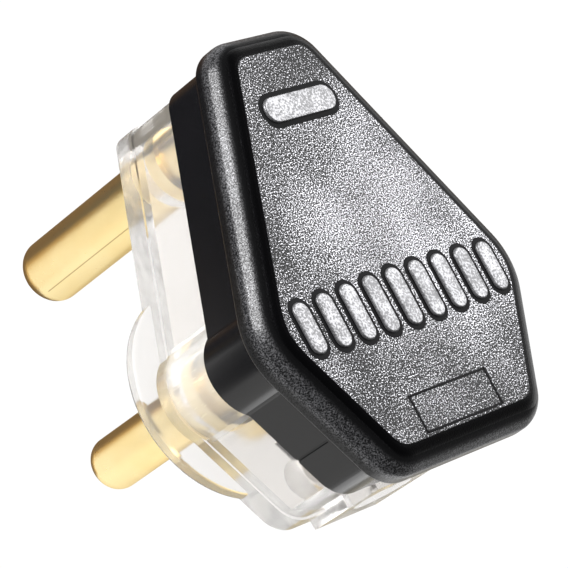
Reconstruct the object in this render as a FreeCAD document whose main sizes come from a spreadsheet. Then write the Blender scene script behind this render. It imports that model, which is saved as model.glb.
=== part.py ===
import FreeCAD, Part
import os
import re
import Sketcher

# A rewirable plug with three round pins: a clear base that holds the pins and a black lid that clips to it.
# Millimetres. The origin is on the face that meets the socket, midway between the line and neutral pins.
# +Z points to the lid, +Y to the earth pin (the narrow head), and the cord leaves at the tail, along -Y.

SIZES = [
    ("head_half", 8.3, "half width of the lid's outline at the head, corners sharp"),
    ("wide_half", 24.9, "half width of the lid's outline at its widest, corners sharp"),
    ("wide_back", 1.1, "widest point behind the line of the two live pins"),
    ("tail_half", 14.5, "half width of the lid's outline at the tail, corners sharp"),
    ("tail_reach", 21.3, "lid's tail edge behind the line of the two live pins"),
    ("head_round", 6.0, "radius of the lid's head corners in plan"),
    ("wide_round", 10.0, "radius of the lid's wide corners in plan"),
    ("tail_round", 6.0, "radius of the lid's tail corners in plan"),
    ("lid_top", 25.0, "lid's face above the socket face"),
    ("flange_thick", 4.5, "depth of the lid's flange"),
    ("flange_round", 2.8, "rounding of the flange's upper edge"),
    ("roof_thick", 2.2, "lid's roof over the wiring space"),
    ("seam_height", 12.5, "joint between lid and base above the socket face"),
    ("skirt_side", 2.2, "skirt's sides inside the flange's outline"),
    ("skirt_head", 1.1, "skirt's head inside the flange's outline"),
    ("skirt_tail", 2.1, "skirt's tail inside the flange's outline"),
    ("skirt_wall", 1.8, "skirt's wall"),
    ("skirt_head_round", 3.6, "radius of the skirt's head corners"),
    ("skirt_tail_round", 5.0, "radius of the skirt's tail corners"),
    ("bulge_radius", 6.0, "skirt's round bulge beside each live pin"),
    ("bulge_proud", 0.55, "skirt's round bulge beyond the skirt's wide corner"),
    ("bulge_back", 0.8, "bulges behind the line of the two live pins"),
    ("under_round", 0.5, "rounding of the flange's lower edge"),
    ("cavity_head", 3.0, "wiring space's head inside the flange's outline"),
    ("plate_thick", 3.2, "base's plate"),
    ("plate_side", 3.2, "plate's sides inside the flange's outline"),
    ("plate_head", 1.0, "plate's head inside the flange's outline"),
    ("plate_tail", 2.5, "plate's tail inside the flange's outline"),
    ("plate_head_round", 2.6, "radius of the plate's head corners"),
    ("plate_tail_round", 4.6, "radius of the plate's tail corners"),
    ("base_side", 3.5, "base's sides inside the flange's outline"),
    ("base_head", 1.3, "base's head inside the flange's outline"),
    ("base_tail", 2.8, "base's tail inside the flange's outline"),
    ("base_wall", 1.9, "base's wall"),
    ("base_head_round", 2.6, "radius of the base's head corners"),
    ("base_tail_round", 4.6, "radius of the base's tail corners"),
    ("housing_radius", 6.8, "base's round housing beside each live pin"),
    ("housing_proud", 0.4, "base's round housing beyond the base's wide corner"),
    ("guard_radius", 14.2, "finger guard's rim"),
    ("guard_half", 9.7, "finger guards' centres either side of the middle"),
    ("guard_thick", 1.8, "finger guards"),
    ("guard_round", 0.4, "rounding of the finger guards' rims"),
    ("lip_height", 2.0, "base's lip inside the skirt"),
    ("seat_gap", 0.05, "clearance where one piece fits in another"),
    ("collar_half", 6.0, "half width of the collar at the cord entry"),
    ("collar_reach", 1.5, "collar beyond the base's tail"),
    ("cord_radius", 4.0, "cord entry"),
    ("cord_height", 7.4, "cord entry's axis above the socket face"),
    ("pin_half", 12.7, "live pins either side of the middle"),
    ("earth_reach", 28.6, "earth pin from the line of the two live pins"),
    ("live_radius", 3.53, "live pins"),
    ("live_length", 21.0, "live pins beyond the socket face"),
    ("live_tip_round", 2.2, "rounding of the live pins' tips"),
    ("earth_radius", 4.355, "earth pin"),
    ("earth_length", 28.6, "earth pin beyond the socket face"),
    ("earth_tip_round", 2.6, "rounding of the earth pin's tip"),
    ("shoulder_step", 0.3, "pin's shoulder in the plate, larger than its shank"),
    ("head_flange_thick", 2.0, "flange of a pin that sits on the plate"),
    ("live_pillar_radius", 4.2, "terminal pillar of a live pin"),
    ("earth_pillar_radius", 4.4, "terminal pillar of the earth pin"),
    ("pillar_height", 8.0, "terminal pillar above its flange"),
    ("pillar_room", 0.3, "room between the earth pin's pillar and the head wall"),
    ("wire_radius", 1.8, "wire's hole across a pillar"),
    ("wire_height", 3.5, "wire's hole above the flange"),
    ("terminal_thread", 2.0, "terminal screw's shank"),
    ("terminal_shank", 4.2, "terminal screw's length under its head"),
    ("terminal_head", 3.3, "terminal screw's head"),
    ("terminal_head_thick", 2.2, "terminal screw's head"),
    ("slot_width", 0.9, "slot of every screw"),
    ("slot_depth", 1.1, "slot of every screw"),
    ("screw_edge_round", 0.5, "rounding of every screw's head"),
    ("clamp_half", 6.9, "clamp screws either side of the middle"),
    ("clamp_back", 13.6, "clamp behind the line of the two live pins"),
    ("clamp_width", 5.0, "clamp along the cord"),
    ("clamp_thick", 2.2, "clamp bar"),
    ("clamp_room", 0.3, "room between cord and clamp bar"),
    ("clamp_ridge", 1.0, "rounding of the clamp's saddle above its ends"),
    ("boss_radius", 2.5, "clamp bosses and the clamp's rounded ends"),
    ("clamp_thread", 1.4, "clamp screw's shank"),
    ("clamp_shank", 8.0, "clamp screw's length under its head"),
    ("clamp_head", 2.4, "clamp screw's head"),
    ("clamp_head_thick", 1.7, "clamp screw's head"),
    ("barrier_thick", 1.4, "barrier between the two live terminals"),
    ("barrier_height", 13.0, "barrier above the socket face"),
    ("barrier_front", 15.0, "barrier's end towards the earth pin"),
    ("barrier_back", 7.0, "barrier's end towards the cord"),
    ("post_radius", 2.4, "lid's posts that hold the pins down"),
    ("latch_back", 11.0, "latches behind the line of the two live pins"),
    ("latch_width", 2.6, "latch along the wall"),
    ("latch_thick", 1.3, "latch across the wall"),
    ("latch_foot", 9.9, "latch's foot above the socket face"),
    ("barb_reach", 0.6, "latch's barb into the base's wall"),
    ("barb_height", 1.2, "latch's barb"),
    ("groove_back", 13.2, "groove beside a latch behind the line of the two live pins"),
    ("groove_width", 0.3, "groove beside a latch"),
    ("groove_depth", 0.2, "groove beside a latch"),
    ("groove_height", 5.8, "groove above the seam"),
]

doc = FreeCAD.newDocument("RoundPinPlug")
sheet = doc.addObject("Spreadsheet::Sheet", "Sizes")
for row, (alias, value, meaning) in enumerate(SIZES, start=1):
    sheet.set(f"A{row}", meaning)
    sheet.set(f"B{row}", str(value))
    sheet.setAlias(f"B{row}", alias)
doc.recompute()


def formula(text):
    """The same expression with each size looked up in the sheet: every alias has an underscore."""
    return re.sub(r"[a-z]+(?:_[a-z]+)+", r"Sizes.\g<0>", text)


def number(text):
    return float(sheet.evalExpression(formula(text)))


def bind(target, path, text):
    target.setExpression(path, formula(text))


# Building blocks

def new_body(label, x="0", y="0", z="0"):
    body = doc.addObject("PartDesign::Body", label)
    body.Label = label
    for axis, place in zip("xyz", (x, y, z)):
        bind(body, f"Placement.Base.{axis}", place)
    return body


def new_sketch(body, name, plane, height):
    """A sketch on one of the body's origin planes, raised along that plane's normal."""
    sketch = body.newObject("Sketcher::SketchObject", name)
    support = [face for face in body.Origin.OriginFeatures if face.Role == plane][0]
    sketch.AttachmentSupport = [(support, "")]
    sketch.MapMode = "FlatFace"
    bind(sketch, "AttachmentOffset.Base.z", height)
    return sketch


def fix_point(sketch, geometry, point, place, tag):
    """Ties a sketch point to the sheet by its distances from the sketch's origin."""
    for kind, axis, text in zip(("DistanceX", "DistanceY"), "xy", place):
        index = sketch.addConstraint(Sketcher.Constraint(kind, -1, 1, geometry, point, number(text)))
        sketch.renameConstraint(index, f"{tag}_{axis}")
        bind(sketch, f"Constraints.{tag}_{axis}", text)


def polygons(body, name, outlines, height="0", plane="XY_Plane"):
    sketch = new_sketch(body, name, plane, height)
    for outline in outlines:
        first = sketch.GeometryCount
        corners = [FreeCAD.Vector(number(x), number(y), 0) for x, y in outline]
        for start, end in zip(corners, corners[1:] + corners[:1]):
            sketch.addGeometry(Part.LineSegment(start, end), False)
        for side in range(len(outline)):
            following = first + (side + 1) % len(outline)
            sketch.addConstraint(Sketcher.Constraint("Coincident", first + side, 2, following, 1))
        for side, place in enumerate(outline):
            fix_point(sketch, first + side, 1, place, f"corner{first + side}")
    return sketch


def circles(body, name, centres, radius, height="0", plane="XY_Plane"):
    sketch = new_sketch(body, name, plane, height)
    for index, (x, y) in enumerate(centres):
        middle = FreeCAD.Vector(number(x), number(y), 0)
        sketch.addGeometry(Part.Circle(middle, FreeCAD.Vector(0, 0, 1), number(radius)), False)
        size = sketch.addConstraint(Sketcher.Constraint("Radius", index, number(radius)))
        sketch.renameConstraint(size, f"radius{index}")
        bind(sketch, f"Constraints.radius{index}", radius)
        fix_point(sketch, index, 3, (x, y), f"middle{index}")
    return sketch


def pad(body, sketch, length, reverse=False):
    feature = body.newObject("PartDesign::Pad", f"{sketch.Name}Pad")
    feature.Profile = sketch
    feature.Reversed = reverse
    bind(feature, "Length", length)
    doc.recompute()
    return feature


def pocket(body, sketch, depth, reverse=False):
    """A cut against the sketch's normal, or along it when reversed, that has to remove something."""
    before = body.Tip.Shape.Volume
    feature = body.newObject("PartDesign::Pocket", f"{sketch.Name}Pocket")
    feature.Profile = sketch
    feature.Reversed = reverse
    bind(feature, "Length", depth)
    doc.recompute()
    if feature.Shape.isNull() or feature.Shape.Volume > before - 1e-3:
        raise RuntimeError(f"{feature.Name} cuts nothing")
    return feature


def revolve(body, sketch):
    feature = body.newObject("PartDesign::Revolution", f"{sketch.Name}Turn")
    feature.Profile = sketch
    feature.ReferenceAxis = (sketch, ["V_Axis"])
    feature.Angle = 360
    doc.recompute()
    return feature


def round_edges(body, name, radius, wanted):
    """Rounds the edges of the body's tip that pass the test."""
    tip = body.Tip
    names = [f"Edge{i}" for i, edge in enumerate(tip.Shape.Edges, start=1) if wanted(edge)]
    if not names:
        raise RuntimeError(f"{name} finds no edge")
    feature = body.newObject("PartDesign::Fillet", name)
    feature.Base = (tip, names)
    bind(feature, "Radius", radius)
    doc.recompute()
    return feature


def upright_at(places):
    """A test for straight edges along Z that stand at one of the places."""
    spots = [(number(x), number(y)) for x, y in places]

    def wanted(edge):
        low, high = edge.Vertexes[0].Point, edge.Vertexes[-1].Point
        upright = abs(low.x - high.x) + abs(low.y - high.y) < 1e-6 and abs(low.z - high.z) > 1e-6
        return upright and any(abs(low.x - x) + abs(low.y - y) < 1e-3 for x, y in spots)

    return wanted


def level_at(height):
    """A test for edges that lie flat at a height."""
    level = number(height)

    def wanted(edge):
        box = edge.BoundBox
        return abs(box.ZMin - level) < 1e-6 and abs(box.ZMax - level) < 1e-6

    return wanted


def rims(radius, height):
    """A test for round edges of that radius that lie flat at a height."""
    level = level_at(height)

    def wanted(edge):
        round_edge = edge.Curve.TypeId == "Part::GeomCircle"
        return round_edge and abs(edge.Curve.Radius - number(radius)) < 1e-6 and level(edge)

    return wanted


# The coffin-shaped outline that lid, skirt, base and wiring space share

HEAD_REACH = "(earth_reach + earth_pillar_radius + pillar_room + cavity_head)"
HEAD_SLOPE = f"((wide_half - head_half) / ({HEAD_REACH} + wide_back))"
TAIL_SLOPE = "((wide_half - tail_half) / (tail_reach - wide_back))"


def head_side(y, inset):
    """Half width at a place between head and widest point, inside the flange's outline by the inset."""
    return f"(wide_half - ({y} + wide_back) * {HEAD_SLOPE} - ({inset}) * sqrt(1 + {HEAD_SLOPE} ^ 2))"


def tail_side(y, inset):
    """Half width at a place between widest point and tail, inside the flange's outline by the inset."""
    return f"(wide_half + ({y} + wide_back) * {TAIL_SLOPE} - ({inset}) * sqrt(1 + {TAIL_SLOPE} ^ 2))"


def wide_corner_y(inset):
    """Where the two sides meet, inside the flange's outline by the inset."""
    turn = f"(sqrt(1 + {TAIL_SLOPE} ^ 2) - sqrt(1 + {HEAD_SLOPE} ^ 2)) / ({HEAD_SLOPE} + {TAIL_SLOPE})"
    return f"(({inset}) * {turn} - wide_back)"


def beside_pins(inset, proud, radius, back):
    """Centres of two rounds of that radius that stand proud of the wide corners of an inset outline."""
    x = f"({head_side(wide_corner_y(inset), inset)} + {proud} - {radius})"
    return [(f"-{x}", f"-({back})"), (x, f"-({back})")]


def coffin(side, head, tail):
    """Corners of the outline with its own inset at the sides, the head and the tail, from the head's right."""
    head_y = f"({HEAD_REACH} - ({head}))"
    tail_y = f"(({tail}) - tail_reach)"
    wide_y = wide_corner_y(side)
    right = [
        (head_side(head_y, side), head_y),
        (head_side(wide_y, side), wide_y),
        (tail_side(tail_y, side), tail_y),
    ]
    left = [(f"-{x}", y) for x, y in reversed(right)]
    return right + left


def both_sides(outline):
    """The outline and its mirror image across the middle."""
    return [outline, [(f"-({x})", y) for x, y in reversed(outline)]]


def wall_piece(back, width, outer, inner):
    """A piece that follows the tail wall: its middle behind the live pins, its width and its two insets."""
    front_y = f"(({width}) / 2 - ({back}))"
    rear_y = f"(-({width}) / 2 - ({back}))"
    return [
        (tail_side(front_y, outer), front_y),
        (tail_side(rear_y, outer), rear_y),
        (tail_side(rear_y, inner), rear_y),
        (tail_side(front_y, inner), front_y),
    ]


def corner_pairs(outline):
    """The outline's corners in pairs: head, widest and tail."""
    return [(outline[0], outline[5]), (outline[1], outline[4]), (outline[2], outline[3])]


LIVE_PLACES = [("-pin_half", "0"), ("pin_half", "0")]
EARTH_PLACE = [("0", "earth_reach")]
PILLAR_TOP = "(plate_thick + head_flange_thick + pillar_height)"
CLAMP_SEAT = "(cord_height + cord_radius + clamp_room)"
FLANGE_UNDER = "(lid_top - flange_thick)"
ROOF_UNDER = "(lid_top - roof_thick)"
SKIRT_INNER = "(skirt_side + skirt_wall)"
BASE_INNER = "(base_side + base_wall)"
LATCH_OUTER = f"({BASE_INNER} + seat_gap * 2)"
BULGE_PLACES = beside_pins("skirt_side", "bulge_proud", "bulge_radius", "bulge_back")
HOUSING_PLACES = beside_pins("base_side", "housing_proud", "housing_radius", "0")
LIVE_TO_WALL = f"(({head_side('0', BASE_INNER)} - pin_half) / sqrt(1 + {HEAD_SLOPE} ^ 2))"
LIVE_FLANGE = f"max({LIVE_TO_WALL} - seat_gap * 2; live_radius + shoulder_step * 2)"
EARTH_TO_WALL = f"({head_side('earth_reach', BASE_INNER)} / sqrt(1 + {HEAD_SLOPE} ^ 2))"
EARTH_FLANGE = f"({EARTH_TO_WALL} - seat_gap * 2)"


def build_lid():
    body = new_body("lid")
    flange = coffin("0", "0", "0")
    pad(body, polygons(body, "LidFlange", [flange], FLANGE_UNDER), "flange_thick")
    for corner, radius in zip(corner_pairs(flange), ("head_round", "wide_round", "tail_round")):
        round_edges(body, f"Lid_{radius}", radius, upright_at(corner))
    round_edges(body, "LidEdge", "flange_round", level_at("lid_top"))
    round_edges(body, "LidUnder", "under_round", level_at(FLANGE_UNDER))

    skirt = coffin("skirt_side", "skirt_head", "skirt_tail")
    skirt_height = f"{FLANGE_UNDER} - seam_height"
    pad(body, polygons(body, "LidSkirt", [skirt], "seam_height"), skirt_height)
    head, _, tail = corner_pairs(skirt)
    round_edges(body, "SkirtHead", "skirt_head_round", upright_at(head))
    round_edges(body, "SkirtTail", "skirt_tail_round", upright_at(tail))
    pad(body, circles(body, "LidBulges", BULGE_PLACES, "bulge_radius", "seam_height"), skirt_height)

    room = f"{ROOF_UNDER} - seam_height"
    space = coffin(SKIRT_INNER, "cavity_head", "skirt_tail + skirt_wall")
    pocket(body, polygons(body, "LidSpace", [space], "seam_height"), room, reverse=True)
    bulge_space = circles(body, "LidBulgeSpace", BULGE_PLACES, "bulge_radius - skirt_wall", "seam_height")
    pocket(body, bulge_space, room, reverse=True)

    post_length = f"{ROOF_UNDER} - {PILLAR_TOP} - terminal_head_thick - seat_gap"
    posts = circles(body, "LidPosts", LIVE_PLACES + EARTH_PLACE, "post_radius", ROOF_UNDER)
    pad(body, posts, post_length, reverse=True)

    lip_top = "(seam_height + lip_height + seat_gap * 2)"
    latch_inner = f"({LATCH_OUTER} + latch_thick)"
    root = wall_piece("latch_back", "latch_width", f"{SKIRT_INNER} - skirt_wall / 2", latch_inner)
    pad(body, polygons(body, "LatchRoots", both_sides(root), lip_top), f"{ROOF_UNDER} - {lip_top}")
    blade = wall_piece("latch_back", "latch_width", LATCH_OUTER, latch_inner)
    pad(body, polygons(body, "LatchBlades", both_sides(blade), "latch_foot"), f"{lip_top} - latch_foot")
    barb = wall_piece("latch_back", "latch_width", f"{BASE_INNER} - barb_reach", latch_inner)
    pad(body, polygons(body, "LatchBarbs", both_sides(barb), "latch_foot"), "barb_height")

    groove_outer, groove_inner = "skirt_side - skirt_wall / 2", "skirt_side + groove_depth"
    groove = wall_piece("groove_back", "groove_width", groove_outer, groove_inner)
    pocket(body, polygons(body, "LatchGrooves", both_sides(groove), "seam_height"), "groove_height", reverse=True)
    return body


def build_base():
    body = new_body("base")
    shell = coffin("base_side", "base_head", "base_tail")
    pad(body, polygons(body, "BaseShell", [shell]), "seam_height")
    head, _, tail = corner_pairs(shell)
    round_edges(body, "BaseHead", "base_head_round", upright_at(head))
    round_edges(body, "BaseTail", "base_tail_round", upright_at(tail))
    plate = coffin("plate_side", "plate_head", "plate_tail")
    pad(body, polygons(body, "BasePlate", [plate]), "plate_thick")
    head, _, tail = corner_pairs(plate)
    round_edges(body, "PlateHead", "plate_head_round", upright_at(head))
    round_edges(body, "PlateTail", "plate_tail_round", upright_at(tail))
    pad(body, circles(body, "BaseHousings", HOUSING_PLACES, "housing_radius"), "seam_height")
    guards = [("-guard_half", "0"), ("guard_half", "0")]
    for side, place in zip(("Left", "Right"), guards):
        pad(body, circles(body, f"BaseGuard{side}", [place], "guard_radius"), "guard_thick")
    for name, height in (("GuardTops", "guard_thick"), ("GuardFeet", "0")):
        round_edges(body, name, "guard_round", rims("guard_radius", height))

    tail_y = "(base_tail - tail_reach)"
    collar = [
        ("collar_half", f"{tail_y} + base_wall"),
        ("collar_half", f"{tail_y} - collar_reach"),
        ("-collar_half", f"{tail_y} - collar_reach"),
        ("-collar_half", f"{tail_y} + base_wall"),
    ]
    pad(body, polygons(body, "BaseCollar", [collar]), "seam_height")

    lip_side = f"{SKIRT_INNER} + seat_gap"
    lip = coffin(lip_side, "cavity_head + seat_gap", "skirt_tail + skirt_wall + seat_gap")
    pad(body, polygons(body, "BaseLip", [lip], "seam_height"), "lip_height")
    lip_radius = "bulge_radius - skirt_wall - seat_gap"
    pad(body, circles(body, "BaseLipRounds", BULGE_PLACES, lip_radius, "seam_height"), "lip_height")

    top = "(seam_height + lip_height)"
    depth = f"{top} - plate_thick"
    space = coffin(BASE_INNER, "cavity_head", "base_tail + base_wall")
    pocket(body, polygons(body, "BaseSpace", [space], top), depth)
    housing_space = circles(body, "BaseHousingSpace", HOUSING_PLACES, "housing_radius - base_wall", top)
    pocket(body, housing_space, depth)

    for kind, places in (("live", LIVE_PLACES), ("earth", EARTH_PLACE)):
        hole_radius = f"{kind}_radius + shoulder_step + seat_gap"
        pocket(body, circles(body, f"{kind}_holes", places, hole_radius, "plate_thick"), "plate_thick")

    barrier = [
        ("barrier_thick / 2", "barrier_front"),
        ("barrier_thick / 2", "-barrier_back"),
        ("-barrier_thick / 2", "-barrier_back"),
        ("-barrier_thick / 2", "barrier_front"),
    ]
    pad(body, polygons(body, "BaseBarrier", [barrier], "plate_thick"), "barrier_height - plate_thick")

    bosses = [("-clamp_half", "-clamp_back"), ("clamp_half", "-clamp_back")]
    boss_height = f"{CLAMP_SEAT} - plate_thick"
    pad(body, circles(body, "ClampBosses", bosses, "boss_radius", "plate_thick"), boss_height)
    pilot = circles(body, "ClampPilots", bosses, "clamp_thread + seat_gap", CLAMP_SEAT)
    pocket(body, pilot, "clamp_shank - clamp_thick + seat_gap * 2")

    entry_front = "(tail_reach - base_tail + collar_reach)"
    entry = circles(body, "CordEntry", [("0", "cord_height")], "cord_radius", entry_front, "XZ_Plane")
    pocket(body, entry, "collar_reach + base_wall")

    catch_room = "latch_width + seat_gap * 4"
    catch_outer, catch_inner = f"{BASE_INNER} - barb_reach - seat_gap * 2", f"{BASE_INNER} + seat_gap"
    catch = wall_piece("latch_back", catch_room, catch_outer, catch_inner)
    catch_top = "latch_foot + barb_height + seat_gap * 2"
    pocket(body, polygons(body, "LatchCatches", both_sides(catch), catch_top), "barb_height + seat_gap * 4")
    return body


def build_pin(label, kind, flange_radius, x, y):
    """A turned pin: rounded tip, shank, shoulder in the plate, flange on it and a terminal pillar inside."""
    body = new_body(label, x, y)
    flange_top = "plate_thick + head_flange_thick"
    profile = [
        ("0", f"-{kind}_length"),
        (f"{kind}_radius", f"-{kind}_length"),
        (f"{kind}_radius", "0"),
        (f"{kind}_radius + shoulder_step", "0"),
        (f"{kind}_radius + shoulder_step", "plate_thick"),
        (flange_radius, "plate_thick"),
        (flange_radius, flange_top),
        (f"{kind}_pillar_radius", flange_top),
        (f"{kind}_pillar_radius", PILLAR_TOP),
        ("0", PILLAR_TOP),
    ]
    revolve(body, polygons(body, f"{label}_profile", [profile], plane="XZ_Plane"))
    round_edges(body, f"{label}_tip", f"{kind}_tip_round", level_at(f"-{kind}_length"))

    wire_z = f"{flange_top} + wire_height"
    pillar = f"{kind}_pillar_radius"
    wire = circles(body, f"{label}_wire", [("0", wire_z)], "wire_radius", pillar, "XZ_Plane")
    pocket(body, wire, f"{pillar} * 2")
    thread = circles(body, f"{label}_thread", [("0", "0")], "terminal_thread + seat_gap", PILLAR_TOP)
    pocket(body, thread, "pillar_height - wire_height")
    return body


def build_earth_pin():
    """The earth pin's flange has a flat, because the base's head wall is close behind it."""
    body = build_pin("earth_pin", "earth", EARTH_FLANGE, "0", "earth_reach")
    flat_y = "(earth_pillar_radius + pillar_room - seat_gap * 2)"
    flat = [
        (EARTH_FLANGE, flat_y),
        (EARTH_FLANGE, f"{EARTH_FLANGE} + seat_gap"),
        (f"-{EARTH_FLANGE}", f"{EARTH_FLANGE} + seat_gap"),
        (f"-{EARTH_FLANGE}", flat_y),
    ]
    flange_top = "plate_thick + head_flange_thick"
    pocket(body, polygons(body, "EarthFlat", [flat], flange_top), "head_flange_thick")
    return body


def build_screw(label, kind, x, y, seat):
    """A slotted cheese-head screw, its head's underside on the seat."""
    body = new_body(label, x, y, seat)
    pad(body, circles(body, f"{label}_head", [("0", "0")], f"{kind}_head"), f"{kind}_head_thick")
    round_edges(body, f"{label}_edge", "screw_edge_round", level_at(f"{kind}_head_thick"))
    shank = circles(body, f"{label}_shank", [("0", "0")], f"{kind}_thread")
    pad(body, shank, f"{kind}_shank", reverse=True)
    slot = [
        ("slot_width / 2", f"{kind}_head"),
        ("slot_width / 2", f"-{kind}_head"),
        ("-slot_width / 2", f"-{kind}_head"),
        ("-slot_width / 2", f"{kind}_head"),
    ]
    pocket(body, polygons(body, f"{label}_slot", [slot], f"{kind}_head_thick"), "slot_depth")
    return body


def build_cord_clamp():
    """A bar over the cord with rounded ends and a saddle ridge along its middle."""
    body = new_body("cord_clamp", "0", "-clamp_back", CLAMP_SEAT)
    bar = [
        ("clamp_half", "clamp_width / 2"),
        ("clamp_half", "-clamp_width / 2"),
        ("-clamp_half", "-clamp_width / 2"),
        ("-clamp_half", "clamp_width / 2"),
    ]
    pad(body, polygons(body, "ClampBar", [bar]), "clamp_thick")
    ends = [("-clamp_half", "0"), ("clamp_half", "0")]
    pad(body, circles(body, "ClampEnds", ends, "boss_radius"), "clamp_thick")
    ridge_half = "(clamp_half - clamp_head - seat_gap * 4)"
    ridge = [
        (ridge_half, "clamp_width / 2"),
        (ridge_half, "-clamp_width / 2"),
        (f"-{ridge_half}", "-clamp_width / 2"),
        (f"-{ridge_half}", "clamp_width / 2"),
    ]
    pad(body, polygons(body, "ClampRidge", [ridge], "clamp_thick"), "clamp_ridge")
    pocket(body, circles(body, "ClampHoles", ends, "clamp_thread + seat_gap", "clamp_thick"), "clamp_thick")
    return body


def check(document, bodies):
    for item in document.Objects:
        if "Invalid" in item.State or "Error" in item.State:
            raise RuntimeError(f"{item.Name} failed: {item.State}")
    for body in bodies:
        if body.Shape.isNull() or not body.Shape.isValid() or len(body.Shape.Solids) != 1:
            raise RuntimeError(f"{body.Label} is not one sound solid")


clamp_screw_seat = f"{CLAMP_SEAT} + clamp_thick"
bodies = [
    build_lid(),
    build_base(),
    build_earth_pin(),
    build_pin("line_pin", "live", LIVE_FLANGE, "-pin_half", "0"),
    build_pin("neutral_pin", "live", LIVE_FLANGE, "pin_half", "0"),
    build_screw("earth_screw", "terminal", "0", "earth_reach", PILLAR_TOP),
    build_screw("line_screw", "terminal", "-pin_half", "0", PILLAR_TOP),
    build_screw("neutral_screw", "terminal", "pin_half", "0", PILLAR_TOP),
    build_cord_clamp(),
    build_screw("clamp_screw_left", "clamp", "-clamp_half", "-clamp_back", clamp_screw_seat),
    build_screw("clamp_screw_right", "clamp", "clamp_half", "-clamp_back", clamp_screw_seat),
]
doc.recompute()
check(doc, bodies)
os.makedirs("parts", exist_ok=True)
for body in bodies:
    body.Shape.exportStep(f"parts/{body.Label}.step")
    print(body.Label, round(body.Shape.Volume, 1), body.Shape.BoundBox)
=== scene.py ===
"""A rewirable mains plug: black grained lid, clear base and round brass pins, on a white studio floor."""

import math

import bmesh
import bpy
from mathutils import Matrix, Vector


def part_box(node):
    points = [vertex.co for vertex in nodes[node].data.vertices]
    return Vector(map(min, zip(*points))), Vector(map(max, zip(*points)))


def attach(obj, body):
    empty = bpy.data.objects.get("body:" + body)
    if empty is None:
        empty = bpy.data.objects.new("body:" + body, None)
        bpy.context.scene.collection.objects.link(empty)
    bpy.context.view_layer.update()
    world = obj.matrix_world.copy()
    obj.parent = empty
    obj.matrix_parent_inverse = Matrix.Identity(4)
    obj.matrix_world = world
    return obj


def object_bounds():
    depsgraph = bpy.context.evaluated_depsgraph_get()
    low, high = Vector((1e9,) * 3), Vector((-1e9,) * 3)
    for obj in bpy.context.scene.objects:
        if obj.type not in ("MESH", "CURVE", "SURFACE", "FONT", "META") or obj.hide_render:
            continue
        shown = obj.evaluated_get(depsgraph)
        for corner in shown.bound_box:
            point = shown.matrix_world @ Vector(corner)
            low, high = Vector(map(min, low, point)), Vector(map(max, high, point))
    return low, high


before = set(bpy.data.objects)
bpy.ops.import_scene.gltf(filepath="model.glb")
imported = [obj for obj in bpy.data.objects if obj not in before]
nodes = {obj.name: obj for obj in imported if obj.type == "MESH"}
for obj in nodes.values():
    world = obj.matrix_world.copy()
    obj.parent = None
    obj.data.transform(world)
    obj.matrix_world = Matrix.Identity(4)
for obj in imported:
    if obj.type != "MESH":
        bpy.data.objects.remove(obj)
cad_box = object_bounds()
MM = 0.001


class Wire:
    """One output of a finish's nodes. Maths on it adds Math nodes."""

    def __init__(self, finish, socket):
        self.finish = finish
        self.socket = socket

    def maths(self, operation, *others):
        inputs = dict(enumerate((self, *others)))
        return self.finish.node("ShaderNodeMath", {"operation": operation}, inputs)

    def __add__(self, other):
        return self.maths("ADD", other)

    __radd__ = __add__

    def __mul__(self, other):
        return self.maths("MULTIPLY", other)

    __rmul__ = __mul__

    def __sub__(self, other):
        return self.maths("SUBTRACT", other)

    def __rsub__(self, other):
        return (self * -1.0).maths("ADD", other)

    def __pow__(self, other):
        return self.maths("POWER", other)

    def size(self):
        return self.maths("ABSOLUTE")

    def above(self, low, high):
        """0 below low, 1 above high, with a soft step between."""
        settings = {"interpolation_type": "SMOOTHSTEP"}
        inputs = {"Value": self, "From Min": low, "From Max": high}
        return self.finish.node("ShaderNodeMapRange", settings, inputs)

    def below(self, low, high):
        return 1.0 - self.above(low, high)


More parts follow.
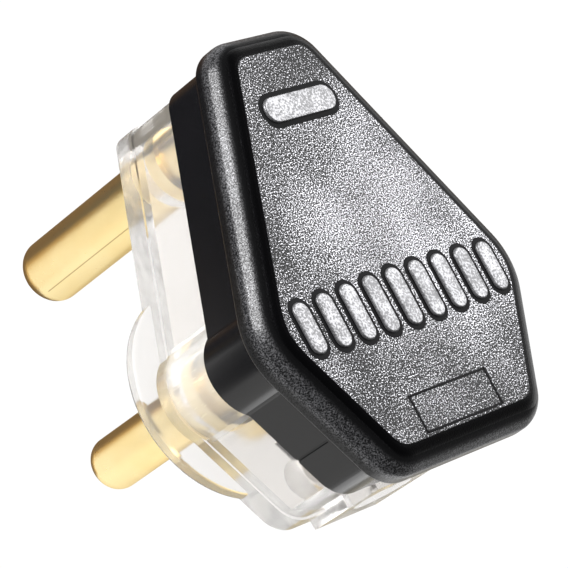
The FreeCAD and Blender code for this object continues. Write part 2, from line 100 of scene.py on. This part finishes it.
class Finish:
    """A material of the plug or its studio, or the studio's sky, put together node by node."""

    def __init__(self, name, store="materials"):
        self.owner = getattr(bpy.data, store).new(name)
        self.owner.use_nodes = True
        self.tree = self.owner.node_tree
        self.tree.nodes.clear()

    def node(self, kind, settings=None, inputs=None, out=0):
        made = self.tree.nodes.new(kind)
        for key, value in (settings or {}).items():
            setattr(made, key, value)
        for key, value in (inputs or {}).items():
            if isinstance(value, Wire):
                self.tree.links.new(value.socket, made.inputs[key])
            else:
                made.inputs[key].default_value = value
        return Wire(self, made.outputs[out]) if made.outputs else None

    def place(self):
        """Where a point is on the plug, in metres."""
        return self.node("ShaderNodeTexCoord", out="Object")

    def split(self, vector):
        parts = self.node("ShaderNodeSeparateXYZ", None, {0: vector})
        outputs = parts.socket.node.outputs
        return [Wire(self, outputs[i]) for i in range(3)]

    def noise(self, vector, scale, detail=2.0, roughness=0.5):
        inputs = {"Vector": vector, "Scale": scale, "Detail": detail, "Roughness": roughness}
        return self.node("ShaderNodeTexNoise", None, inputs)

    def cells(self, vector, scale):
        return self.node("ShaderNodeTexVoronoi", None, {"Vector": vector, "Scale": scale})

    def stretch(self, vector, scale):
        return self.node("ShaderNodeVectorMath", {"operation": "MULTIPLY"}, {0: vector, 1: scale})

    def blend(self, share, first, second):
        inputs = {0: share, 6: first, 7: second}
        return self.node("ShaderNodeMix", {"data_type": "RGBA"}, inputs, out=2)

    def bump(self, height, strength, distance):
        inputs = {"Height": height, "Strength": strength, "Distance": distance}
        return self.node("ShaderNodeBump", None, inputs)

    def rays(self, kind):
        """1 for rays of one kind, such as Is Camera Ray, and 0 for the others."""
        return self.node("ShaderNodeLightPath", out=kind)

    def diffuse(self, colour):
        return self.node("ShaderNodeBsdfDiffuse", None, {"Color": colour})

    def glow(self, colour, strength):
        return self.node("ShaderNodeEmission", None, {"Color": colour, "Strength": strength})

    def layer(self, share, under, over):
        return self.node("ShaderNodeMixShader", None, {0: share, 1: under, 2: over})

    def end(self, shader):
        self.node("ShaderNodeOutputMaterial", None, {"Surface": shader})
        return self.owner

    def surface(self, inputs):
        return self.end(self.node("ShaderNodeBsdfPrincipled", None, inputs))


DEEP_BLACK = (0.002, 0.002, 0.0025, 1.0)
SOFT_BLACK = (0.005, 0.005, 0.006, 1.0)
GLINT_SILVER = (0.50, 0.50, 0.525, 1.0)

# The lid's outline with its corners sharp: half widths, the place of the widest one, and the easing
HEAD_HALF = 8.3 * MM
WIDE_HALF = 24.9 * MM
TAIL_HALF = 14.5 * MM
WIDE_Y = -1.1 * MM
OUTLINE_MIDDLE_X = 0.2 * MM
SIDE_EASE = 4.1 * MM
END_EASE = 2.6 * MM

# Heights on the lid, from where a zone begins to where it is full
FLANGE_FROM = (20.3 * MM, 20.8 * MM)
FILLET_FROM = (21.6 * MM, 22.6 * MM)
BORDER_FROM = (23.9 * MM, 24.6 * MM)
BORDER_TOP = (24.6 * MM, 24.9 * MM)
FACE_FROM = (24.86 * MM, 24.97 * MM)

# Distances inside the lid's outline: where the grain begins, and where the face rolls off to its edge
GRAIN_FROM = (3.05 * MM, 3.20 * MM)
ROLL_OUTER = 1.7 * MM
ROLL_INNER = 3.20 * MM
ROLL_SLOPE = 0.42

# The flange's upper edge rounds off below this height, to this depth
SHOULDER_TOP = 23.9 * MM
SHOULDER_DEPTH = 0.95 * MM
SHOULDER_EASE = 0.7 * MM

# Painted highlight: the face's glints are densest here, and thin out towards these distances across and
# along
SHINE_X, SHINE_Y = 13.0 * MM, 8.0 * MM
SHINE_ACROSS, SHINE_ALONG = 36.0 * MM, 24.0 * MM


def inside_lid(x, y):
    """How far a point lies inside the lid's coffin-shaped outline, with the corners eased."""
    low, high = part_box("lid")
    out = (x - OUTLINE_MIDDLE_X).size()
    sides = []
    for end, end_half in ((high.y, HEAD_HALF), (low.y, TAIL_HALF)):
        slope = (end_half - WIDE_HALF) / (end - WIDE_Y)
        room = (y - WIDE_Y) * slope + WIDE_HALF - out
        sides.append(room * (1.0 / math.hypot(1.0, slope)))
    ends = (high.y - y).maths("MINIMUM", y - low.y)
    return sides[0].maths("SMOOTH_MIN", sides[1], SIDE_EASE).maths("SMOOTH_MIN", ends, END_EASE)


def lid_black():
    """Black moulding: glittering grain on the face, thinned away from one spot as painted highlight, a
    softer grain on the flange with painted highlight specks and a painted dark band at its top, a satin
    skirt.
    """
    f = Finish("lid_black")
    at = f.place()
    x, y, height = f.split(at)
    depth = inside_lid(x, y)
    face = height.above(*FACE_FROM) * depth.above(*GRAIN_FROM)
    flange = height.above(*FLANGE_FROM) * (1.0 - face)
    border = flange * height.above(*BORDER_FROM)
    fillet = (flange - border) * height.above(*FILLET_FROM)

    rolled = depth.maths("MAXIMUM", ROLL_OUTER).maths("MINIMUM", ROLL_INNER) * (ROLL_SLOPE / MM)
    drop = (SHOULDER_TOP - height).maths("MAXIMUM", 0.0)
    shoulder = drop.maths("SMOOTH_MIN", SHOULDER_DEPTH, SHOULDER_EASE) * (1.0 / MM)

    # Painted highlight: fewer glints on the face away from the shine spot, standing in for the light's
    # fall-off
    across = (x - SHINE_X) * (1.0 / SHINE_ACROSS)
    along = (y - SHINE_Y) * (1.0 / SHINE_ALONG)
    dull = ((across * across + along * along) * 0.085).maths("MINIMUM", 0.070) + 0.010

    grit = f.noise(at, 5200.0, 1.5, 0.6)
    pits = f.cells(at, 5400.0)
    fine = f.noise(at, 5600.0, 1.0)
    flow = f.noise(at, 90.0, 2.0)
    glint = (grit + (flow - 0.5) * 0.16 - dull).above(0.45, 0.57) * face
    # Grain specks on the fillet, lighter grey only where the highlight stripe falls: real grain, partly
    # painted highlight
    grain_and_highlight_specks = (grit + (flow - 0.5) * 0.2).above(0.38, 0.88) * fillet
    pock = grit.below(0.34, 0.60) * flange
    grain = (grit * 0.034 + pits * 0.020) * face + grit * flange * 0.032 + fine * 0.002
    relief = grain + rolled + shoulder * shoulder * 0.21

    black = f.blend(flow, DEEP_BLACK, SOFT_BLACK)
    # Painted shade: the top of the flange's rounding is turned to black metal so it reflects little,
    # leaving a dark band beside the face
    painted_dark_band = border * (0.60 + height.above(*BORDER_TOP) * 0.30)
    metal = (grain_and_highlight_specks * 0.50).maths("MAXIMUM", (pock * 0.52).maths("MAXIMUM", painted_dark_band))
    return f.surface({
        "Base Color": f.blend(glint * 0.9 + grain_and_highlight_specks * 0.42, black, GLINT_SILVER),
        "Metallic": glint * 0.85 + metal,
        "Roughness": 0.17 + flange * 0.12 + face * 0.50 - glint * 0.34 + fine * 0.06,
        "Normal": f.bump(relief, 1.0, 1.0 * MM),
        "Specular IOR Level": 0.45,
    })


def rib_black():
    """Tops of the raised ribs on the lid, rubbed to a dull silver shine."""
    f = Finish("rib_black")
    at = f.place()
    fine = f.noise(at, 3400.0, 2.0)
    flow = f.noise(at, 320.0, 2.0)
    worn = (fine + (flow - 0.5) * 0.5).above(0.38, 0.62)
    return f.surface({
        "Base Color": f.blend(worn, (0.12, 0.12, 0.125, 1.0), (0.30, 0.30, 0.31, 1.0)),
        "Metallic": 0.35 + worn * 0.45,
        "Roughness": 0.30 + fine * 0.16,
        "Normal": f.bump(fine, 0.35, 0.04 * MM),
    })


def groove_black():
    """Smooth dark moat round each rib."""
    f = Finish("groove_black")
    fine = f.noise(f.place(), 4000.0, 2.0)
    return f.surface({
        "Base Color": f.blend(fine, DEEP_BLACK, SOFT_BLACK),
        "Roughness": 0.55 + fine * 0.1,
        "Specular IOR Level": 0.08,
    })


# The housings round the live pins are frosted on their outer walls
HOUSING_X = 14.7 * MM
HOUSING_INNER = (5.9 * MM, 6.4 * MM)
HOUSING_OUTER = (7.0 * MM, 7.2 * MM)
HOUSING_FROM = (3.0 * MM, 4.5 * MM)
HOUSING_OUTWARD = (0.0, 3.0 * MM)

# Two bands of painted grey shade stand at the corners of the base's head, a wide one and a thin one
WIDE_BAND_FROM = (31.9 * MM, 32.7 * MM)
WIDE_BAND_TO = (34.0 * MM, 35.4 * MM)
THIN_BAND_Y = 31.1 * MM
THIN_BAND_HALF = (0.05 * MM, 0.65 * MM)
BANDS_FROM = (2.0 * MM, 3.0 * MM)
BANDS_OUTWARD = (3.0 * MM, 4.5 * MM)


def clear_plastic():
    """Clear polycarbonate with a faint warm cast, frosted at the housings, with painted grey shade where
    it is seen edge-on and painted grey shade bands at the head.
    """
    f = Finish("clear_plastic")
    at = f.place()
    x, y, z = f.split(at)
    ripple = f.noise(at, 160.0, 2.0)
    haze = f.noise(f.stretch(at, (1.0, 1.0, 0.25)), 1800.0, 3.0).above(0.58, 0.80)
    # Painted shade: grey where the clear base is seen edge-on, broken into patches, standing in for dark
    # lines of refraction
    edge_shade_break = f.noise(at, 900.0, 3.0).above(0.48, 0.66)
    painted_edge_shade = f.node("ShaderNodeLayerWeight", None, {"Blend": 0.5}, out="Facing").above(0.55, 0.95)
    clear = f.blend(ripple, (0.966, 0.947, 0.927, 1.0), (0.982, 0.966, 0.950, 1.0))
    glass = f.node("ShaderNodeBsdfPrincipled", None, {
        "Base Color": f.blend(painted_edge_shade * (0.30 + edge_shade_break * 0.65), clear, (0.38, 0.37, 0.35, 1.0)),
        "Roughness": 0.12 + haze * 0.10,
        "Transmission Weight": 0.88,
        "IOR": 1.21,
        "Normal": f.bump(ripple, 0.10, 0.4 * MM),
    })

    out = x.size() - HOUSING_X
    reach = (out * out + y * y) ** 0.5
    housing = reach.above(*HOUSING_INNER) * reach.below(*HOUSING_OUTER)
    housing = housing * z.above(*HOUSING_FROM) * out.above(*HOUSING_OUTWARD)
    frost = f.diffuse((0.88, 0.865, 0.82, 1.0))
    frosted = f.layer(housing * (0.28 + haze * 0.12), glass, frost)

    # Painted shade: grey diffuse bands at the head's corners, standing in for dark refraction streaks
    wide_band = y.above(*WIDE_BAND_FROM) * y.below(*WIDE_BAND_TO) * 0.94
    thin_band = (y - THIN_BAND_Y).size().below(*THIN_BAND_HALF) * 0.55
    shade_bands = wide_band.maths("MAXIMUM", thin_band)
    shade_bands = shade_bands * z.above(*BANDS_FROM) * x.size().above(*BANDS_OUTWARD)
    painted_shade = f.diffuse((0.14, 0.128, 0.11, 1.0))
    return f.end(f.layer(shade_bands, frosted, painted_shade))


# A fine line runs along the earth pin, on the side of the live pins, from the plate to the rounded tip
EARTH_PIN_Y = 28.6 * MM
SEAM_WAY_X, SEAM_WAY_Y = 0.656, 0.755
SEAM_HALF = (0.05 * MM, 0.11 * MM)
SEAM_SIDE = (26.5 * MM, 27.5 * MM)
SEAM_TOP = (-2.0 * MM, -1.0 * MM)
SEAM_TIP = (-25.6 * MM, -25.2 * MM)


def earth_seam(x, y, z):
    """1 on the earth pin's fine line, 0 beside it."""
    slant = (y - EARTH_PIN_Y) * SEAM_WAY_Y - x * SEAM_WAY_X
    line = slant.size().below(*SEAM_HALF) * y.below(*SEAM_SIDE)
    return line * z.below(*SEAM_TOP) * z.above(*SEAM_TIP)


def brass(name, seam=False):
    """Turned and tumbled brass, satin, with faint rings and darker patches."""
    f = Finish(name)
    at = f.place()
    rings = f.noise(f.stretch(at, (120.0, 120.0, 5200.0)), 1.0, 2.0)
    sand = f.noise(at, 3600.0, 3.0)
    stain = f.noise(at, 130.0, 3.0)
    colour = f.blend(stain.above(0.35, 0.75), (1.0, 0.825, 0.45, 1.0), (0.98, 0.775, 0.38, 1.0))
    relief = rings * 0.35 + sand * 0.5
    if seam:
        line = earth_seam(*f.split(at))
        colour = f.blend(line * 0.55, colour, (0.20, 0.11, 0.035, 1.0))
        relief = relief - line * 1.5
    return f.surface({
        "Base Color": colour,
        "Metallic": 1.0,
        "Roughness": 0.21 + sand * 0.12 + stain * 0.06,
        "Specular Tint": (1.0, 0.90, 0.70, 1.0),
        "Normal": f.bump(relief, 0.35, 0.05 * MM),
    })


def plated_steel():
    """Zinc-plated screws, brushed by the driver."""
    f = Finish("plated_steel")
    sand = f.noise(f.place(), 2600.0, 3.0)
    return f.surface({
        "Base Color": f.blend(sand, (0.66, 0.65, 0.61, 1.0), (0.78, 0.77, 0.73, 1.0)),
        "Metallic": 1.0,
        "Roughness": 0.22 + sand * 0.2,
        "Normal": f.bump(sand, 0.3, 0.04 * MM),
    })


def white_plastic():
    """Cord clamp, moulded in natural white."""
    f = Finish("white_plastic")
    mottle = f.noise(f.place(), 700.0, 3.0)
    return f.surface({
        "Base Color": f.blend(mottle, (0.80, 0.80, 0.76, 1.0), (0.90, 0.90, 0.87, 1.0)),
        "Roughness": 0.40 + mottle * 0.1,
        "Normal": f.bump(mottle, 0.2, 0.05 * MM),
    })


def dress(node, material):
    """Gives a CAD node its finish."""
    slots = nodes[node].data.materials
    slots.clear()
    slots.append(material)


def make_mesh(name, shape):
    """Turns a bmesh into a mesh of that name."""
    mesh = bpy.data.meshes.new(name)
    shape.to_mesh(mesh)
    shape.free()
    return mesh


def put(name, data):
    """Sets an object into the scene."""
    thing = bpy.data.objects.new(name, data)
    bpy.context.scene.collection.objects.link(thing)
    return thing


# The lid's raised marks, in mm
MARKS_BOTTOM = 24.9
RIBS_TOP, RIBS_EDGE = 25.35, 0.25
MOATS_TOP, FRAME_TOP, FLAT_EDGE = 25.03, 25.06, 0.03
EDGE_STEPS = 4
CREASE_ANGLE = math.radians(40.0)

RIB_COUNT = 9
RIB_PITCH = 4.4
FIRST_RIB_X = -17.2
RIBS_Y = -1.2
RIB_HALF_X, RIB_CORNER = 1.25, 1.2
RIB_HALF_Y, RIB_SWELL = 3.4, 0.5
MOAT_WIDTH = 0.65

PAD_AT = (0.3, 25.6)
PAD_HALF_X, PAD_HALF_Y, PAD_CORNER = 6.4, 1.7, 1.65
PAD_MOAT_WIDTH = 0.7

FRAME_Y = -15.25
FRAME_HALF_X, FRAME_HALF_Y = 7.3, 2.4
FRAME_SIDE_HALF = 2.55
FRAME_BAR_HALF, FRAME_BAR_CORNER, FRAME_STEPS = 0.16, 0.1, 2


def rounded_bar(half_x, half_y, corner, steps=8):
    """Outline of a bar with rounded corners, round its own middle, in mm."""
    points = []
    for turn, (sx, sy) in enumerate(((1, 1), (-1, 1), (-1, -1), (1, -1))):
        for i in range(steps + 1):
            angle = math.radians(90.0 * turn + 90.0 * i / steps)
            x = sx * (half_x - corner) + corner * math.cos(angle)
            y = sy * (half_y - corner) + corner * math.sin(angle)
            points.append((x, y))
    return points


def soft_profile(top, edge):
    """Inset and height of each ring of a pad's side, up to its rounded upper edge, in mm."""
    profile = [(0.0, MARKS_BOTTOM), (0.0, top - edge)]
    for i in range(1, EDGE_STEPS + 1):
        angle = math.radians(90.0 * i / EDGE_STEPS)
        profile.append((edge * (1.0 - math.cos(angle)), top - edge + edge * math.sin(angle)))
    return profile


def add_ring(shape, centre, outline, inset, z):
    """One ring of a pad's points, drawn in towards its middle."""
    ring = []
    for x, y in outline:
        keep = 1.0 - inset / math.hypot(x, y)
        point = Vector((centre[0] + x * keep, centre[1] + y * keep, z))
        ring.append(shape.verts.new(point * MM))
    return ring


def raised_pads(name, outlines, top, edge, material):
    """Flat-topped pads with softened upper edges, standing on the lid's face."""
    shape = bmesh.new()
    for centre, outline in outlines:
        rings = [add_ring(shape, centre, outline, inset, z) for inset, z in soft_profile(top, edge)]
        for low, high in zip(rings, rings[1:]):
            for i in range(len(low)):
                j = (i + 1) % len(low)
                shape.faces.new((low[i], low[j], high[j], high[i]))
        shape.faces.new(rings[-1])
        shape.faces.new(list(reversed(rings[0])))
    mesh = make_mesh(name, shape)
    for face in mesh.polygons:
        face.use_smooth = True
    mesh.set_sharp_from_angle(angle=CREASE_ANGLE)
    mesh.materials.append(material)
    piece = put(name, mesh)
    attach(piece, "root")


def lid_marks():
    """Plain raised ribs across the lid, an oval pad near its head and a bare label frame near its tail."""
    moat_finish = groove_black()
    ribs = []
    moats = []
    for i in range(RIB_COUNT):
        centre = (FIRST_RIB_X + RIB_PITCH * i, RIBS_Y)
        half_y = RIB_HALF_Y + RIB_SWELL * math.cos(math.pi * (i / (RIB_COUNT - 1) - 0.5))
        grown = (RIB_HALF_X + MOAT_WIDTH, half_y + MOAT_WIDTH, RIB_CORNER + MOAT_WIDTH)
        ribs.append((centre, rounded_bar(RIB_HALF_X, half_y, RIB_CORNER)))
        moats.append((centre, rounded_bar(*grown)))
    grown = (PAD_HALF_X + PAD_MOAT_WIDTH, PAD_HALF_Y + PAD_MOAT_WIDTH, PAD_CORNER + PAD_MOAT_WIDTH)
    ribs.append((PAD_AT, rounded_bar(PAD_HALF_X, PAD_HALF_Y, PAD_CORNER)))
    moats.append((PAD_AT, rounded_bar(*grown)))
    raised_pads("lid_rib_moats", moats, MOATS_TOP, FLAT_EDGE, moat_finish)
    raised_pads("lid_ribs", ribs, RIBS_TOP, RIBS_EDGE, rib_black())

    end_bar = rounded_bar(FRAME_HALF_X, FRAME_BAR_HALF, FRAME_BAR_CORNER, FRAME_STEPS)
    side_bar = rounded_bar(FRAME_BAR_HALF, FRAME_SIDE_HALF, FRAME_BAR_CORNER, FRAME_STEPS)
    bars = [((0.0, FRAME_Y + side * FRAME_HALF_Y), end_bar) for side in (1, -1)]
    bars += [((side * FRAME_HALF_X, FRAME_Y), side_bar) for side in (-1, 1)]
    raised_pads("lid_label_frame", bars, FRAME_TOP, FLAT_EDGE, moat_finish)


# The studio, in metres
FLOOR_DROP = 0.055
FLOOR_Z = cad_box[0].z - FLOOR_DROP
FLOOR_HALF = 6.0
FLOOR_GLOW = 0.86
WHITE = (1.0, 1.0, 1.0, 1.0)
FLOOR_WHITE = (0.92, 0.92, 0.92, 1.0)
SKY_GREY = (0.8, 0.8, 0.8, 1.0)
SKY_LIGHT = 0.30

# Cards above the floor that only reflections show: outlines, lifts and levels of light
DARK_CARD = (
    (-0.30, -0.06), (-0.115, -0.06), (-0.115, 0.03), (-0.095, 0.085), (-0.046, 0.085),
    (-0.046, 0.0), (0.03, 0.0), (0.05, 0.035), (0.45, 0.035), (0.45, 0.32), (-0.30, 0.32),
)
BRIGHT_CARD = ((-0.03, -0.24), (0.16, -0.24), (0.16, -0.100), (-0.03, -0.100))
PALE_CARD = ((-0.13, -0.12), (0.14, -0.12), (0.14, 0.09), (-0.13, 0.09))
UPPER_LIFT, LOWER_LIFT = 0.002, 0.001
BRIGHT_LEVEL, PALE_LEVEL = 3.0, 1.17

# The dark card is grey to its left and beyond the plug, brown elsewhere, and warm along one edge
WARM_EDGE_X = -0.046
WARM_HALF = (0.010, 0.022)
LEFT_OF = (-0.058, -0.048)
BEYOND_FROM, BEYOND_LEFT_OF = (0.086, 0.099), (-0.012, 0.0)

# The pale card is shaded in two steps from left to right
FIRST_SHADE_FROM = (-0.06, 0.03)
SECOND_SHADE_FROM = (0.045, 0.060)

LAMPS_AIM = Vector((0.0, 0.006, 0.02))


def floor():
    """White floor that keeps the plug's shadow."""
    shape = bmesh.new()
    bmesh.ops.create_grid(shape, x_segments=1, y_segments=1, size=FLOOR_HALF)
    sheet = put("floor", make_mesh("floor", shape))
    sheet.location.z = FLOOR_Z
    f = Finish("floor_white")
    seen = f.rays("Is Camera Ray") + f.rays("Is Glossy Ray") + f.rays("Is Transmission Ray")
    share = seen.maths("MINIMUM", 1.0) * FLOOR_GLOW
    sheet.data.materials.append(f.end(f.layer(share, f.diffuse(FLOOR_WHITE), f.glow(WHITE, 1.0))))


def card(name, outline, lift, material):
    """A flat card just above the floor that only reflections show."""
    shape = bmesh.new()
    shape.faces.new([shape.verts.new((x, y, 0.0)) for x, y in outline])
    sheet = put(name, make_mesh(name, shape))
    sheet.location.z = FLOOR_Z + lift
    for sight in ("camera", "diffuse", "transmission", "shadow", "volume_scatter"):
        setattr(sheet, "visible_" + sight, False)
    sheet.data.materials.append(material)


def dark_paper():
    """The dark card's colours, which the skirt and the pins reflect."""
    f = Finish("dark_card")
    across, along, _ = f.split(f.place())
    warm = (across - WARM_EDGE_X).size().below(*WARM_HALF)
    brown = f.blend(warm, (0.105, 0.070, 0.046, 1.0), (0.52, 0.33, 0.10, 1.0))
    beyond = along.above(*BEYOND_FROM) * across.below(*BEYOND_LEFT_OF)
    plain = across.below(*LEFT_OF).maths("MAXIMUM", beyond)
    return f.end(f.diffuse(f.blend(plain, brown, (0.05, 0.05, 0.055, 1.0))))


def bright_paper():
    """Plain bright card beyond the tail."""
    f = Finish("bright_card")
    return f.end(f.glow(WHITE, BRIGHT_LEVEL))


def pale_paper():
    """White card under the pins, shaded to the right."""
    f = Finish("pale_card")
    across = f.split(f.place())[0]
    pale = f.blend(across.above(*FIRST_SHADE_FROM), (1.0, 0.99, 0.97, 1.0), (0.76, 0.75, 0.73, 1.0))
    pale = f.blend(across.above(*SECOND_SHADE_FROM), pale, (0.52, 0.49, 0.42, 1.0))
    return f.end(f.glow(pale, PALE_LEVEL))


def sky():
    """Pale where the camera or the clear base looks at it, and a dimmer light elsewhere."""
    f = Finish("sky", "worlds")
    seen = f.rays("Is Camera Ray").maths("MAXIMUM", f.rays("Is Transmission Ray"))
    level = f.node("ShaderNodeMapRange", None, {"Value": seen, "To Min": SKY_LIGHT, "To Max": 1.0})
    light = f.node("ShaderNodeBackground", None, {"Color": SKY_GREY, "Strength": level})
    f.node("ShaderNodeOutputWorld", None, {"Surface": light})
    bpy.context.scene.world = f.owner


def soft_box(name, toward, distance, width, depth, radiance):
    """A rectangular lamp that stands off from the plug and faces it."""
    lamp = bpy.data.lights.new(name, "AREA")
    lamp.shape = "RECTANGLE"
    lamp.size = width
    lamp.size_y = depth
    lamp.energy = radiance * math.pi * width * depth
    way = Vector(toward).normalized()
    box = put(name, lamp)
    box.location = LAMPS_AIM + way * distance
    box.rotation_mode = "QUATERNION"
    box.rotation_quaternion = way.to_track_quat("Z", "Y")


def studio():
    """White floor and sky, cards for the reflections, and soft boxes for the lid's face and edge."""
    floor()
    card("dark_card", DARK_CARD, UPPER_LIFT, dark_paper())
    card("bright_card", BRIGHT_CARD, UPPER_LIFT, bright_paper())
    card("pale_card", PALE_CARD, LOWER_LIFT, pale_paper())
    sky()
    soft_box("key_box", toward=(0.73, 0.16, 0.66), distance=0.70, width=0.55, depth=0.55, radiance=5.5)
    soft_box("edge_box", toward=(-0.66, 0.64, 0.39), distance=0.80, width=0.45, depth=0.15, radiance=41.0)


# The camera, fitted to the pins: its axes, its place in mm and its focal length in pixels
CAMERA_RIGHT = Vector((0.6487, -0.4632, 0.6038))
CAMERA_DOWN = Vector((-0.2119, -0.8720, -0.4413))
CAMERA_AHEAD = Vector((0.7310, 0.1584, -0.6638))
CAMERA_AT = Vector((-283.92, -52.913, 267.039))
FOCAL_PIXELS = 3133.5
PICTURE_PIXELS = 568.0
SENSOR_WIDTH = 36.0


def photo_camera():
    """Looks from the lid's side, with a long lens."""
    data = bpy.data.cameras.new("photo_camera")
    data.sensor_fit = "HORIZONTAL"
    data.sensor_width = SENSOR_WIDTH
    data.lens = SENSOR_WIDTH * FOCAL_PIXELS / PICTURE_PIXELS
    data.clip_start = 0.01
    data.clip_end = 50.0
    camera = put("photo_camera", data)
    turn = Matrix((CAMERA_RIGHT, -CAMERA_DOWN, -CAMERA_AHEAD)).transposed()
    camera.rotation_mode = "QUATERNION"
    camera.rotation_quaternion = turn.to_quaternion()
    camera.location = CAMERA_AT * MM
    bpy.context.scene.camera = camera


bpy.context.scene.view_settings.view_transform = "Standard"
photo_camera()
studio()
dress("lid", lid_black())
dress("base", clear_plastic())
dress("earth_pin", brass("earth_brass", seam=True))
live = brass("live_brass")
for pin in ("line_pin", "neutral_pin"):
    dress(pin, live)
steel = plated_steel()
for screw in ("earth_screw", "line_screw", "neutral_screw", "clamp_screw_left", "clamp_screw_right"):
    dress(screw, steel)
dress("cord_clamp", white_plastic())
lid_marks()

bpy.context.view_layer.update()
